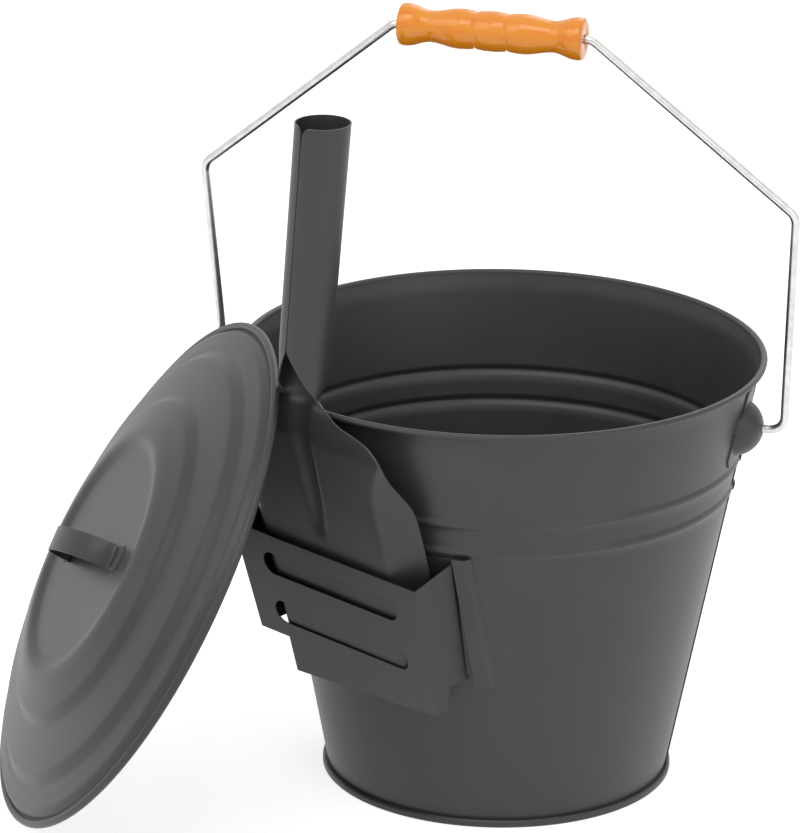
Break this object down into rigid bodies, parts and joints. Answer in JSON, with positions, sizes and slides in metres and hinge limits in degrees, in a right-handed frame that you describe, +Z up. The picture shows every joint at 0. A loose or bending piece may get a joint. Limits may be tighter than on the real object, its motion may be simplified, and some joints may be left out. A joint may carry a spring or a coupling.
{
  "type": "ash bucket",
  "caption": "Conical sheet steel ash bucket with a wire bail and wooden grip, a loose stepped lid, and a shovel standing in a slotted side pocket.",
  "frame": {"origin": "middle of the bucket's foot, on the floor plane", "axes": "+Z up the bucket's axis, +X towards the right ear along the bail's hinge line, -Y towards the side that carries the shovel pocket"},
  "size_m": [0.4683, 0.4177, 0.4734],
  "materials": {
    "bucket_paint": "satin dark grey paint",
    "pocket_paint": "satin dark grey paint",
    "shovel_paint": "satin dark grey paint",
    "lid_paint": "satin dark grey paint",
    "bail_steel": "bright drawn wire",
    "wire_steel": "plain wire inside a rolled edge",
    "grip_wood": "clear orange lacquer"
  },
  "bodies": {
    "bucket": {"bucket_wall": "bucket_paint", "rim_wire": "wire_steel", "foot_ring": "bucket_paint", "bucket_bottom": "bucket_paint", "side_seam": "bucket_paint", "ear_right": "bucket_paint", "ear_left": "bucket_paint", "pocket_bracket": "bucket_paint", "shovel_pocket": "pocket_paint"},
    "bail": {"bail_wire": "bail_steel"},
    "grip": {"bail_grip": "grip_wood"},
    "lid": {"lid_pan": "lid_paint", "lid_edge_wire": "wire_steel", "lid_strap": "lid_paint"},
    "shovel": {"ash_shovel": "shovel_paint"}
  },
  "joints": [
    {"name": "bail_swing", "type": "hinge", "parent": "bucket", "child": "bail", "pos_m": [0, 0, 0.227], "axis": [1, 0, 0], "range_deg": [-148, 0]},
    {"name": "grip_spin", "type": "hinge", "parent": "bail", "child": "grip", "pos_m": [0, -0.03414, 0.46102], "axis": [1, 0, 0], "continuous": true},
    {"name": "lid_away", "type": "slide", "parent": "bucket", "child": "lid", "axis": [-0.8846, -0.4664, 0], "range_m": [0, 0.3]},
    {"name": "shovel_lift", "type": "slide", "parent": "bucket", "child": "shovel", "axis": [-0.1435, -0.2387, 0.9604], "range_m": [0, 0.15]}
  ],
  "couplings": [
    {"joint": "shovel_lift", "follows": "lid_away", "ratio": 0.5}
  ]
}
